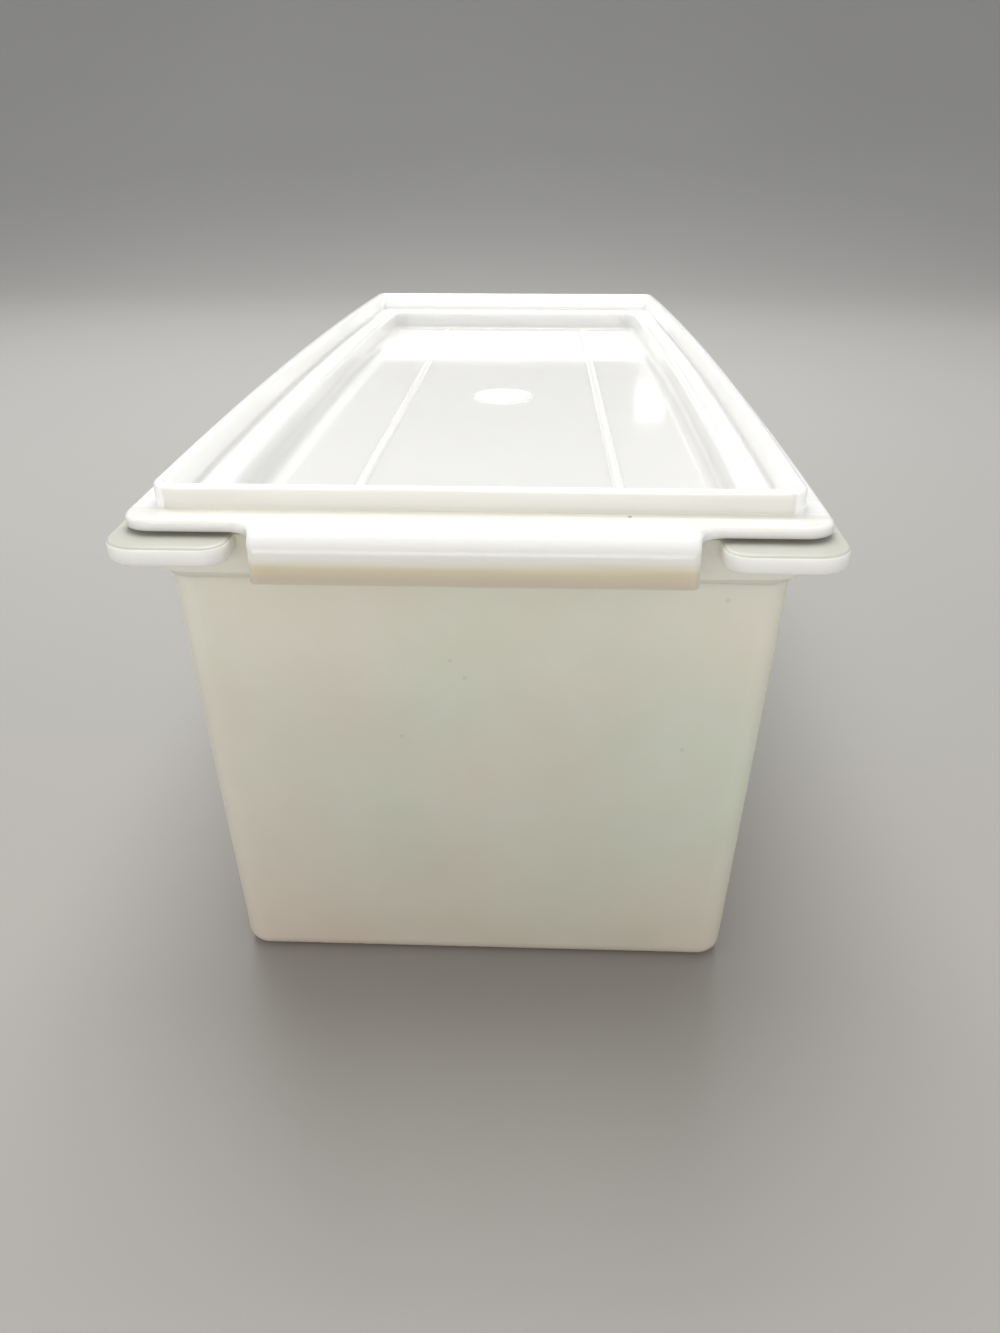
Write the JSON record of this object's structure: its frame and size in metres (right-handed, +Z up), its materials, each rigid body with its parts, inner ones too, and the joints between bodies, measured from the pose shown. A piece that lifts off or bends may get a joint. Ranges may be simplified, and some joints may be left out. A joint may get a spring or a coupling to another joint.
{
  "type": "cheese storage container",
  "caption": "Long, deep food keeper of translucent off-white plastic: tapered tub with ears at its rim and a press-on tray lid with a pull tab at each end.",
  "frame": {"origin": "middle of the footprint, on the surface the tub stands on", "axes": "+Z up, +Y along the long axis, from one pull tab to the other; +X across"},
  "size_m": [0.127, 0.294, 0.103],
  "materials": {
    "tub_plastic": "translucent off-white, satin",
    "lid_plastic": "translucent milky white, soft gloss"
  },
  "bodies": {
    "root": {"tub": "tub_plastic", "lid": "lid_plastic"}
  },
  "joints": []
}
